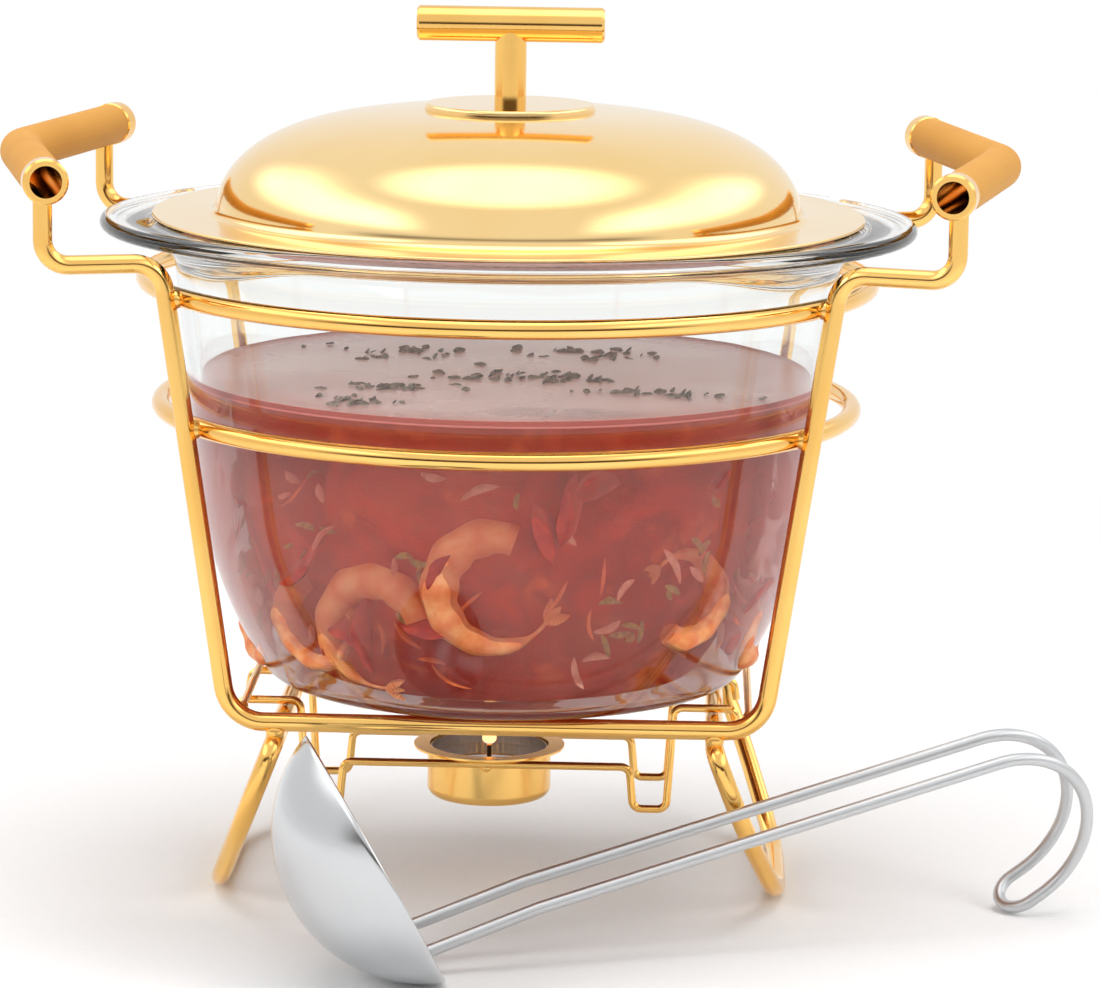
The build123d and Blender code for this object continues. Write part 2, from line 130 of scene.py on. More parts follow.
def add_piece(name, mesh, finish, body):
    """Link a mesh as a piece of the tureen with its finish, moving with a body of the frame."""
    piece = bpy.data.objects.new(name, mesh)
    bpy.context.scene.collection.objects.link(piece)
    mesh.materials.append(finish)
    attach(piece, body)
    return piece


def skin(name, rings, sharp=35, close_ends=False):
    """Mesh over closed rings of points in millimetres, with U along the rings and V around."""
    shape = bmesh.new()
    grid = [[shape.verts.new(Vector(point) * MM) for point in ring] for ring in rings]
    around = len(rings[0])
    uv = shape.loops.layers.uv.new("along_around")
    for row in range(len(rings) - 1):
        for column in range(around):
            after = (column + 1) % around
            corners = (
                grid[row][column],
                grid[row][after],
                grid[row + 1][after],
                grid[row + 1][column],
            )
            face = shape.faces.new(corners)
            places = ((row, column), (row, column + 1), (row + 1, column + 1), (row + 1, column))
            for loop, (along, turn) in zip(face.loops, places):
                loop[uv].uv = (along / (len(rings) - 1), turn / around)
    if close_ends:
        shape.faces.new(reversed(grid[0]))
        shape.faces.new(grid[-1])
    bmesh.ops.remove_doubles(shape, verts=shape.verts, dist=0.002 * MM)
    bmesh.ops.recalc_face_normals(shape, faces=shape.faces)
    mesh = bpy.data.meshes.new(name)
    shape.to_mesh(mesh)
    shape.free()
    for face in mesh.polygons:
        face.use_smooth = True
    mesh.set_sharp_from_angle(angle=math.radians(sharp))
    return mesh


def turned(name, outline, centre=(0, 0), sharp=35, sides=SIDES):
    """Mesh of an outline of (radius, height) turned about an upright axis."""
    rings = []
    for radius, height in outline:
        rings.append([
            (
                centre[0] + radius * math.cos(math.tau * step / sides),
                centre[1] + radius * math.sin(math.tau * step / sides),
                height,
            )
            for step in range(sides)
        ])
    return skin(name, rings, sharp)


def arc(centre, radius, start, end, steps):
    """Points (radius, height) on an arc, from one angle in degrees to another."""
    points = []
    for step in range(steps + 1):
        angle = math.radians(start + (end - start) * step / steps)
        points.append((centre[0] + radius * math.cos(angle), centre[1] + radius * math.sin(angle)))
    return points


def tube(name, points, radii, sides=14, flatten=1.0, sharp=50):
    """Mesh of a round body along points, with a radius at each; flatten squeezes it sideways."""
    points = [Vector(point) for point in points]
    rings = []
    side = None
    for index, point in enumerate(points):
        ahead = points[min(index + 1, len(points) - 1)] - points[max(index - 1, 0)]
        ahead.normalize()
        if side is None:
            side = ahead.orthogonal().normalized()
        side = (side - ahead * side.dot(ahead)).normalized()
        other = ahead.cross(side)
        ring = []
        for step in range(sides):
            angle = math.tau * step / sides
            offset = side * math.cos(angle) + other * math.sin(angle) * flatten
            ring.append(point + offset * radii[index])
        rings.append(ring)
    return skin(name, rings, sharp, close_ends=True)


# Shader maths


class Signal:
    """One output socket that takes part in ordinary arithmetic."""

    def __init__(self, graph, socket):
        self.graph = graph
        self.socket = socket

    def __add__(self, other):
        return self.graph.math("ADD", self, other)

    __radd__ = __add__

    def __mul__(self, other):
        return self.graph.math("MULTIPLY", self, other)

    __rmul__ = __mul__

    def __sub__(self, other):
        return self.graph.math("SUBTRACT", self, other)

    def __rsub__(self, other):
        return self.graph.math("SUBTRACT", other, self)

    def __truediv__(self, other):
        return self.graph.math("DIVIDE", self, other)

    def __pow__(self, other):
        return self.graph.math("POWER", self, other)

    def sine(self):
        """Sine of the value, in radians."""
        return self.graph.math("SINE", self)

    def between(self, low, high):
        """0 below low, 1 above high, and smooth from one to the other."""
        settings = {"interpolation_type": "SMOOTHSTEP"}
        inputs = {"Value": self, "From Min": low, "From Max": high}
        return self.graph.signal("ShaderNodeMapRange", "Result", settings, inputs)


class Graph:
    """Builds the node tree of one material or of the world."""

    def __init__(self, tree):
        self.tree = tree
        tree.nodes.clear()

    def node(self, kind, settings=None, inputs=None):
        """Add a node of that type: its settings first, then the values or links of its sockets."""
        made = self.tree.nodes.new(kind)
        for key, value in (settings or {}).items():
            setattr(made, key, value)
        for key, value in (inputs or {}).items():
            socket = made.inputs[key]
            if isinstance(value, Signal):
                self.tree.links.new(value.socket, socket)
            else:
                socket.default_value = value
        return made

    def signal(self, kind, output, settings=None, inputs=None):
        """One output of a new node."""
        return Signal(self, self.node(kind, settings, inputs).outputs[output])

    def math(self, operation, *values):
        """A Math node on one or two values."""
        inputs = dict(enumerate(values))
        return self.signal("ShaderNodeMath", "Value", {"operation": operation}, inputs)

    def place(self):
        """Place on the piece, in metres in the frame."""
        return self.signal("ShaderNodeTexCoord", "Object")

    def scaled(self, vector, scale):
        """The vector with each part multiplied."""
        inputs = {0: vector, 1: scale}
        return self.signal("ShaderNodeVectorMath", "Vector", {"operation": "MULTIPLY"}, inputs)

    def parts(self, vector):
        """X, Y and Z of a vector."""
        made = self.node("ShaderNodeSeparateXYZ", inputs={"Vector": vector})
        return [Signal(self, made.outputs[axis]) for axis in ("X", "Y", "Z")]

    def noise(self, scale, detail=2.0, roughness=0.5, vector=None, distortion=0.0):
        """Noise between 0 and 1 over the piece; scale is in cells per metre."""
        inputs = {"Scale": scale, "Detail": detail, "Roughness": roughness}
        inputs["Distortion"] = distortion
        inputs["Vector"] = vector or self.place()
        return self.signal("ShaderNodeTexNoise", "Fac", inputs=inputs)

    def cells(self, scale, vector=None):
        """Distance to the nearest of scattered points."""
        inputs = {"Scale": scale, "Vector": vector or self.place()}
        return self.signal("ShaderNodeTexVoronoi", "Distance", inputs=inputs)

    def blend(self, share, low, high):
        """Colour that goes from low at a share of 0 to high at 1."""
        inputs = {0: share, 6: low, 7: high}
        made = self.node("ShaderNodeMix", {"data_type": "RGBA"}, inputs)
        return Signal(self, made.outputs[2])

    def bump(self, height, depth_mm, strength=1.0):
        """Normal that is roughened by a height between 0 and 1."""
        inputs = {"Height": height, "Distance": depth_mm * MM, "Strength": strength}
        return self.signal("ShaderNodeBump", "Normal", inputs=inputs)

    def surface(self, inputs):
        """The Principled shader with these sockets."""
        return self.signal("ShaderNodeBsdfPrincipled", "BSDF", inputs=inputs)

    def finish(self, shader):
        """Send the shader to the surface output."""
        self.node("ShaderNodeOutputMaterial", inputs={"Surface": shader})


def new_finish(name):
    """A new material and the graph to build it with."""
    material = bpy.data.materials.new(name)
    material.use_nodes = True
    return material, Graph(material.node_tree)


def colours():
    """The colours that the user can change."""
    return bpy.context.scene.tureen_colours


def sizes():
    """The sizes that the user can change."""
    return bpy.context.scene.tureen_sizes


def opaque(colour):
    """A colour property as four numbers."""
    return (colour[0], colour[1], colour[2], 1.0)


def gold_finish(name, roughness, wave, tone="gold", shade="gold_deep"):
    """Polished gold plating: faint clouds of tone, fine polishing marks and a slight waviness."""
    material, graph = new_finish(name)
    clouds = graph.noise(18, 3)
    marks = graph.noise(1500, 2, vector=graph.scaled(graph.place(), (1.0, 1.0, 0.15)))
    ripple = graph.noise(45, 1)
    pale, deep = (opaque(getattr(colours(), key)) for key in (tone, shade))
    graph.finish(graph.surface({
        "Base Color": graph.blend(clouds.between(0.3, 0.8), pale, deep),
        "Metallic": 1.0,
        "Roughness": roughness + marks * 0.05 + clouds * 0.04,
        "Normal": graph.bump(ripple * wave + marks * 0.02, 0.2),
    }))
    return material


def grip_finish():
    """Matte moulded sleeve with a fine grain and the faintest clouds of tone."""
    material, graph = new_finish("ochre grip")
    clouds = graph.noise(28, 2)
    grain = graph.noise(2400, 2)
    tone = graph.blend(
        clouds.between(0.3, 0.75) * 0.5, opaque(colours().grip), opaque(colours().grip_shade)
    )
    graph.finish(graph.surface({
        "Base Color": graph.blend(grain * 0.12, tone, opaque(colours().grip_shade)),
        "Roughness": 0.6 + grain * 0.14,
        "Normal": graph.bump(grain, 0.05, 0.6),
    }))
    return material


def glass_finish():
    """Clear pressed glass with the slightest waviness; it lets light through to the soup."""
    material, graph = new_finish("clear glass")
    ripple = graph.noise(30, 1)
    smear = graph.noise(60, 3)
    glass = graph.surface({
        "Base Color": (0.97, 0.985, 0.98, 1.0),
        "Roughness": smear.between(0.55, 0.9) * 0.03,
        "IOR": 1.47,
        "Transmission Weight": 1.0,
        "Normal": graph.bump(ripple, 0.15),
    })
    clear = graph.signal("ShaderNodeBsdfTransparent", "BSDF", inputs={"Color": (0.94, 0.95, 0.95, 1)})
    shadow = graph.signal("ShaderNodeLightPath", "Is Shadow Ray")
    mixed = graph.node("ShaderNodeMixShader", inputs={0: shadow, 1: glass, 2: clear})
    graph.finish(Signal(graph, mixed.outputs[0]))
    return material


def broth_finish():
    """Murky red broth: clearer in the middle, paler toward the sides as a painted reflection of the
    thick glass, and a little paler toward the top.
    """
    material, graph = new_finish("soup broth")
    clouds = graph.noise(26, 5, 0.62, distortion=0.8)
    wisps = graph.noise(70, 4, 0.6, vector=graph.scaled(graph.place(), (1.0, 1.0, 0.45)))
    x, y, z = graph.parts(graph.place())
    # Painted reflection: the broth turns pale toward the left and right sides, where the glass is seen
    # slantwise; the same mask also pales it toward the top.
    side = graph.math("ABSOLUTE", x + clouds * 0.02 - 0.01).between(0.045, 0.1)
    top = z.between(0.135, 0.168)
    side_reflection_and_top = graph.math("MINIMUM", side * 0.75 + top * 0.2, 0.85)
    tone = graph.blend(clouds.between(0.35, 0.7), opaque(colours().broth), opaque(colours().broth_pale))
    tone = graph.blend(wisps.between(0.58, 0.8) * 0.45, tone, (0.62, 0.16, 0.07, 1))
    graph.finish(graph.surface({
        "Base Color": graph.blend(side_reflection_and_top, tone, opaque(colours().broth_reflection_and_top)),
        "Alpha": graph.math("MINIMUM", 0.2 + clouds * 0.2 + wisps * 0.1 + side_reflection_and_top * 0.45, 0.95),
        "Roughness": 0.5 + wisps * 0.2,
        "Specular IOR Level": 0.0,
    }))
    return material


def depths_finish():
    """The deep of the soup behind the floating pieces: dark red with orange clouds."""
    material, graph = new_finish("soup depths")
    clouds = graph.noise(30, 6, 0.65, distortion=1.2)
    oil = graph.noise(55, 4, 0.6)
    tone = graph.blend(clouds.between(0.36, 0.62), opaque(colours().broth_deep), opaque(colours().broth))
    graph.finish(graph.surface({
        "Base Color": graph.blend(oil.between(0.54, 0.72) * 0.8, tone, (0.6, 0.12, 0.03, 1)),
        "Roughness": 0.5 + oil * 0.2,
        "Normal": graph.bump(clouds, 1.5),
        "Specular IOR Level": 0.0,
    }))
    return material


def surface_finish():
    """The soup's top: milky pink with a foam patch in front, tiny bubbles and a redder edge."""
    material, graph = new_finish("soup surface")
    clouds = graph.noise(16, 3, 0.5)
    bubbles = graph.cells(420)
    x, y, z = graph.parts(graph.place())
    radius = (x * x + y * y) ** 0.5
    patch = 1 - (((x - 0.02) / 0.03) ** 2.0 + ((y + 0.078) / 0.012) ** 2.0).between(0.2, 1.0)
    froth = graph.noise(420, 3, 0.7).between(0.42, 0.6) * patch
    edge = (radius + clouds * 0.012).between(0.08, 0.106)
    tone = graph.blend(clouds.between(0.3, 0.75), opaque(colours().foam), opaque(colours().foam_shade))
    tone = graph.blend(edge * 0.8, tone, opaque(colours().broth_pale))
    graph.finish(graph.surface({
        "Base Color": graph.blend(froth * 0.7, tone, (0.72, 0.62, 0.64, 1)),
        "Roughness": 0.24 + froth * 0.3 + clouds * 0.08,
        "Normal": graph.bump(froth * bubbles.between(0.0, 0.6) + clouds * 0.3, 0.4),
        "Specular IOR Level": 0.3,
    }))
    return material


def shrimp_finish():
    """Cooked shrimp: pale orange flesh with darker bands along its back."""
    material, graph = new_finish("shrimp")
    uv = graph.signal("ShaderNodeUVMap", "UV", {"uv_map": "along_around"})
    along, around, _ = graph.parts(uv)
    band = ((along * 44.0 + graph.noise(160, 2) * 2.5).sine() * 0.5 + 0.5) ** 2.0
    mottle = graph.noise(220, 4, 0.6)
    flesh = graph.blend(mottle.between(0.3, 0.7), (0.76, 0.22, 0.06, 1), (0.84, 0.38, 0.15, 1))
    graph.finish(graph.surface({
        "Base Color": graph.blend(band * 0.5, flesh, (0.66, 0.12, 0.03, 1)),
        "Roughness": 0.4 + mottle * 0.15,
        "Normal": graph.bump(band * 0.6 + mottle * 0.4, 0.5),
    }))
    return material


def morsel_finish(name, tone, shade, scale):
    """Small pieces that float in the soup, with two tones and a soft relief."""
    material, graph = new_finish(name)
    mottle = graph.noise(scale, 4, 0.6)
    graph.finish(graph.surface({
        "Base Color": graph.blend(mottle.between(0.35, 0.65), tone, shade),
        "Roughness": 0.4 + mottle * 0.2,
        "Normal": graph.bump(mottle, 0.3),
    }))
    return material


def tin_finish():
    """Thin drawn tin with upright pleats and soft scratches."""
    material, graph = new_finish("tealight tin")
    x, y, z = graph.parts(graph.place())
    turn = graph.math("ARCTAN2", y - HOLDER_Y * MM, x - HOLDER_X * MM)
    pleats = (turn * 60.0).sine() * 0.5 + 0.5
    marks = graph.noise(700, 3)
    graph.finish(graph.surface({
        "Base Color": graph.blend(marks, (0.76, 0.76, 0.77, 1), (0.86, 0.86, 0.87, 1)),
        "Metallic": 1.0,
        "Roughness": 0.24 + marks * 0.12,
        "Normal": graph.bump(pleats * 0.7 + marks * 0.3, 0.08),
    }))
    return material


def wax_finish():
    """Molten candle wax: dark, wet and clear in its middle, cloudier towards the tin."""
    material, graph = new_finish("candle wax")
    x, y, z = graph.parts(graph.place())
    across = x - HOLDER_X * MM
    deep = y - HOLDER_Y * MM
    radius = (across * across + deep * deep) ** 0.5
    clouds = graph.noise(260, 4)
    rim = (radius + clouds * 0.004).between(0.013, 0.021)
    graph.finish(graph.surface({
        "Base Color": graph.blend(rim, (0.11, 0.022, 0.008, 1), (0.34, 0.12, 0.05, 1)),
        "Roughness": 0.06 + rim * 0.2,
        "Coat Weight": 0.6,
        "Normal": graph.bump(clouds * rim, 0.2),
    }))
    return material


def wick_finish():
    """Burnt cotton: nearly black, with a glowing tip."""
    material, graph = new_finish("burnt wick")
    x, y, z = graph.parts(graph.place())
    fibres = graph.noise(3000, 2)
    ember = (z + fibres * 0.0006).between(0.0452, 0.0458)
    graph.finish(graph.surface({
        "Base Color": graph.blend(fibres, (0.012, 0.01, 0.008, 1), (0.07, 0.05, 0.035, 1)),
        "Emission Color": graph.blend(ember, (0, 0, 0, 1), (1.0, 0.22, 0.03, 1)),
        "Emission Strength": 2.0,
        "Roughness": 0.9 - ember * 0.2,
        "Normal": graph.bump(fibres, 0.2),
    }))
    return material


def flame_finish():
    """Candle flame: blue-grey at its foot, yellow in its body and paler at its heart."""
    material, graph = new_finish("candle flame")
    x, y, z = graph.parts(graph.place())
    height = (z - FLAME_FOOT * MM) / sizes().flame_height
    foot = 1 - height.between(0.0, 0.3)
    tone = graph.blend(height.between(0.35, 1.0), (1.0, 0.72, 0.28, 1), (1.0, 0.33, 0.05, 1))
    graph.finish(graph.surface({
        "Base Color": (1.0, 0.6, 0.2, 1),
        "Emission Color": graph.blend(foot * 0.7, tone, (0.25, 0.3, 0.6, 1)),
        "Emission Strength": 1.6,
        "Alpha": 0.9 - foot * 0.5,
        "Roughness": 1.0,
    }))
    return material


def steel_finish(name, roughness):
    """Satin stainless steel with fine brushed streaks and soft handling marks."""
    material, graph = new_finish(name)
    streaks = graph.noise(1100, 3, vector=graph.scaled(graph.place(), (0.08, 1.0, 1.0)))
    handling = graph.noise(40, 3)
    tone = graph.blend(handling, opaque(colours().steel), opaque(colours().steel_shade))
    graph.finish(graph.surface({
        "Base Color": tone,
        "Metallic": 1.0,
        "Roughness": roughness + streaks * 0.1 + handling * 0.06,
        "Normal": graph.bump(streaks, 0.003),
    }))
    return material


def dress(nodes, finish):
    """Give the frame's own solids a finish; their shapes stay as they are."""
    for name in nodes:
        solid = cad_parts[name]
        solid.data.materials.clear()
        solid.data.materials.append(finish)


# Properties


def colour_property(name, description, default):
    """A colour that the user can change."""
    return bpy.props.FloatVectorProperty(
        name=name, description=description, subtype="COLOR", size=3, min=0, max=1, default=default
    )


class TureenColours(bpy.types.PropertyGroup):
    """Colours of the tureen's finishes."""

    gold: colour_property("Gold", "Plating on the wires", (0.98, 0.61, 0.19))
    gold_deep: colour_property("Deep gold", "Darker clouds in the wires' plating", (0.93, 0.52, 0.13))
    lid_gold: colour_property("Lid gold", "Polished sheet of the lid", (1.0, 0.73, 0.35))
    lid_deep: colour_property("Lid shade", "Darker clouds in the lid's sheet", (0.98, 0.67, 0.28))
    grip: colour_property("Grip", "Matte sleeves of the grips", (0.60, 0.285, 0.042))
    grip_shade: colour_property("Grip shade", "Darker clouds of the sleeves", (0.52, 0.225, 0.03))
    broth: colour_property("Broth", "Main colour of the soup", (0.44, 0.036, 0.014))
    broth_pale: colour_property("Pale broth", "Cloudy parts of the soup", (0.50, 0.085, 0.045))
    broth_deep: colour_property("Deep broth", "Darkest parts of the soup", (0.22, 0.012, 0.006))
    # Painted reflection: the pale tone the broth takes toward its sides, also used for its paler top.
    broth_reflection_and_top: colour_property("Broth reflection and top", "Soup toward the sides", (0.50, 0.16, 0.14))
    foam: colour_property("Foam", "Top of the soup", (0.82, 0.56, 0.57))
    foam_shade: colour_property("Foam shade", "Redder parts of the soup's top", (0.70, 0.38, 0.38))
    steel: colour_property("Steel", "Ladle", (0.62, 0.63, 0.64))
    steel_shade: colour_property("Steel shade", "Handling marks on the ladle", (0.58, 0.59, 0.60))


class TureenSizes(bpy.types.PropertyGroup):
    """Sizes of what the scene adds to the frame."""

    soup_level: bpy.props.FloatProperty(
        name="Soup level",
        description="Height of the soup's top above the table",
        default=0.168,
        min=0.1,
        max=0.205,
        unit="LENGTH",
    )
    shrimps: bpy.props.IntProperty(
        name="Shrimps", description="Shrimps around the soup, besides the front two", default=9, min=0
    )
    herbs: bpy.props.IntProperty(
        name="Herbs", description="Leaf pieces in each cluster on the soup", default=26, min=0
    )
    flame_height: bpy.props.FloatProperty(
        name="Flame height",
        description="Height of the candle's flame",
        default=0.0065,
        min=0.002,
        unit="LENGTH",
    )


# Pieces


class TUREEN_OT_glass(bpy.types.Operator):
    """Build the glass bowl with its oval rim and two ears"""

    bl_idname = "tureen.glass"
    bl_label = "Glass bowl"

    def execute(self, context):
        rings = []

        def add(radius_at, height_at):
            rings.append([
                (
                    radius_at(turn) * math.cos(turn),
                    radius_at(turn) * math.sin(turn),
                    height_at(turn),
                )
                for turn in (math.tau * step / SIDES for step in range(SIDES))
            ])

        def add_round(radius, height):
            add(lambda turn: radius, lambda turn: height)

        def reach(turn):
            return 1 / math.hypot(math.cos(turn) / RIM_HALF_X, math.sin(turn) / RIM_HALF_Y)

        def ear(turn):
            return (reach(turn) - RIM_HALF_Y) / (RIM_HALF_X - RIM_HALF_Y)

        edge_low = RIM_Z - 2 * RIM_BEAD_R

        def wall_top(turn):
            share = min(1.0, max(0.0, (ear(turn) - 0.2) / 0.5))
            return edge_low - RIM_COVE - EAR_BELLY * share * share * (3 - 2 * share)

        # Underside with a shallow hollow, then the bends and the straight wall
        for radius, height in ((0, 1.0), (56, 1.0), (60, 0.7), (63, 0.1), (66, 0.0)):
            add_round(radius, BOWL_FLOOR_Z + height)
        outside = bends(0.0)
        for radius, height in outside:
            add_round(radius, height)
        start = outside[-1][1]
        for step in range(1, 15):
            share = step / 14
            add(
                lambda turn: wall_r(start + (wall_top(turn) - start) * share),
                lambda turn: start + (wall_top(turn) - start) * share,
            )
        # The wall flares into the rim; under the ears it swells to a belly
        for step in range(1, 13):
            sweep = 1 - math.cos(math.pi * step / 24)
            rise = math.sin(math.pi * step / 24)
            add(
                lambda turn: wall_r(wall_top(turn)) * (1 - sweep) + (reach(turn) - RIM_BEAD_R) * sweep,
                lambda turn: wall_top(turn) + (edge_low - wall_top(turn)) * rise,
            )
        for angle in range(-75, 91, 15):
            across = RIM_BEAD_R * math.cos(math.radians(angle))
            up = RIM_BEAD_R * math.sin(math.radians(angle))
            add(lambda turn: reach(turn) - RIM_BEAD_R + across, lambda turn: RIM_Z - RIM_BEAD_R + up)
        # Top: a shallow dish in each ear, then the flat seat of the lid
        for step in range(1, 9):
            share = step / 8
            dish = EAR_DISH * math.sin(share * math.pi)
            add(
                lambda turn: (reach(turn) - RIM_BEAD_R) * (1 - share)
                + (SEAT_R if ear(turn) > 0.02 else SEAT_R - 1) * share,
                lambda turn: RIM_Z - dish * max(0.0, ear(turn)),
            )
        lip_z = RIM_Z - LIP_R
        mouth_r = wall_r(lip_z, GLASS_WALL)
        for radius, height in arc((mouth_r + LIP_R, lip_z), LIP_R, 90, 180, 5):
            add_round(radius, height)
        inside = bends(GLASS_WALL)
        top = inside[-1][1]
        for step in range(1, 15):
            height = lip_z + (top - lip_z) * step / 15
            add_round(wall_r(height, GLASS_WALL), height)
        for radius, height in reversed(inside):
            add_round(radius, height)
        add_round(36, BOWL_FLOOR_Z + GLASS_WALL)
        add_round(0, BOWL_FLOOR_Z + GLASS_WALL)
        bowl = add_piece("glass_bowl_clear", skin("glass bowl", rings, 60), glass_finish(), "bowl")
        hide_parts("glass_bowl")
        return {"FINISHED"}


class TUREEN_OT_lid(bpy.types.Operator):
    """Build the lid's pressed sheet and finish its crown plate, post and handle bar"""

    bl_idname = "tureen.lid"
    bl_label = "Lid"

    def dome(self, inset, steps):
        """Points of the dome from its middle to its foot."""
        points = []
        for step in range(steps + 1):
            angle = math.radians(90 * step / steps)
            radius = (DOME_R - inset) * math.sin(angle) ** (2 / DOME_POWER)
            points.append((radius, RIM_Z + (DOME_HEIGHT - inset) * math.cos(angle)))
        return points

    def execute(self, context):
        top = RIM_Z + LID_SHEET
        outline = [point for point in self.dome(0, 40) if point[1] > top + 2.4]
        foot = outline[-1]
        flange_r = DOME_R + 2.6
        for step in range(1, 9):
            share = step / 8
            radius = foot[0] + (flange_r - foot[0]) * (1 - math.cos(share * math.pi / 2))
            outline.append((radius, foot[1] + (top - foot[1]) * math.sin(share * math.pi / 2)))
        outline += [(LID_R - 6, top), (LID_R - 1.2, top)]
        outline += arc((LID_R - 0.5, RIM_Z + 0.5), 0.5, 90, -90, 6)
        outline += [(LID_R - 3, RIM_Z), (LID_BEAD_R, RIM_Z)]
        low = RIM_Z - LID_BEAD_DEPTH
        within = LID_BEAD_R - LID_BEAD_WIDTH
        outline += [(LID_BEAD_R, low + 0.8), (LID_BEAD_R - 0.8, low), (within + 0.8, low)]
        outline += [(within, low + 0.8), (within, RIM_Z), (DOME_R - 1, RIM_Z)]
        outline += reversed(self.dome(LID_SHEET, 24)[:-1])
        lid = add_piece(
            "lid_pressed_sheet",
            turned("lid sheet", outline, sides=180),
            gold_finish("lid gold", 0.06, 0.15, "lid_gold", "lid_deep"),
            "lid",
        )
        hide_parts("lid_shell")
        dress(["lid_crown_plate"], gold_finish("crown gold", 0.06, 0.05, "lid_gold", "lid_deep"))
        dress(["lid_handle_post", "lid_handle_bar"], gold_finish("handle gold", 0.09, 0.05))
        dress(["lid_handle_screw", "lid_handle_washer"], steel_finish("screw steel", 0.3))
        return {"FINISHED"}


class TUREEN_OT_stand(bpy.types.Operator):
    """Finish the stand's wires, hoops, feet, rails, weld beads and grips"""

    bl_idname = "tureen.stand"
    bl_label = "Stand"

    def execute(self, context):
        wires = [
            "front_frame_wire", "rear_frame_wire", "upper_hoop", "lower_hoop",
            "left_foot_loop", "right_foot_loop", "left_bowl_rail", "right_bowl_rail",
            "left_grip_tube", "right_grip_tube",
            "left_front_grip_collar", "left_rear_grip_collar",
            "right_front_grip_collar", "right_rear_grip_collar",
        ]
        dress(wires, gold_finish("wire gold", 0.08, 0.06))
        beads = ["hoop_weld_beads", "foot_weld_beads", "rail_weld_beads"]
        dress(beads, gold_finish("weld gold", 0.22, 0.8))
        dress(["left_grip_sleeve", "right_grip_sleeve"], grip_finish())
        return {"FINISHED"}


class TUREEN_OT_soup(bpy.types.Operator):
    """Fill the bowl with broth, its dark depths and its pale top"""

    bl_idname = "tureen.soup"
    bl_label = "Soup"

    def body(self, inset, floor_z, top):
        """Outline of the soup between two heights, inset from the bowl's outside."""
        outline = [(0, floor_z)]
        for step in range(33):
            height = floor_z + (top - floor_z) * (step / 32) ** 2
            outline.append((wall_r(height, inset), height))
        return outline

    def execute(self, context):
        level = sizes().soup_level / MM
        skin_inset = GLASS_WALL - 0.3
        outline = self.body(skin_inset, BOWL_FLOOR_Z + skin_inset, level + 0.6)
        broth = turned("broth", outline, sharp=60)
        add_piece("soup_broth", broth, broth_finish(), "bowl")
        depths = self.body(GLASS_WALL + 9, BOWL_FLOOR_Z + GLASS_WALL + 1.5, level - 2.5)
        depths.append((0, level - 2.5))
        add_piece("soup_depths", turned("depths", depths, sharp=60), depths_finish(), "bowl")
        edge = wall_r(level, GLASS_WALL)
        surface = [(0, level)]
        surface += [(edge * step / 14, level) for step in range(1, 14)]
        surface += [(edge - 2.2, level), (edge - 1.0, level + 0.15), (edge + 0.2, level + 0.7)]
        surface += [(edge + 0.2, level - 1.6), (0, level - 1.6)]
        add_piece("soup_surface", turned("surface", surface, sharp=60), surface_finish(), "bowl")
        return {"FINISHED"}


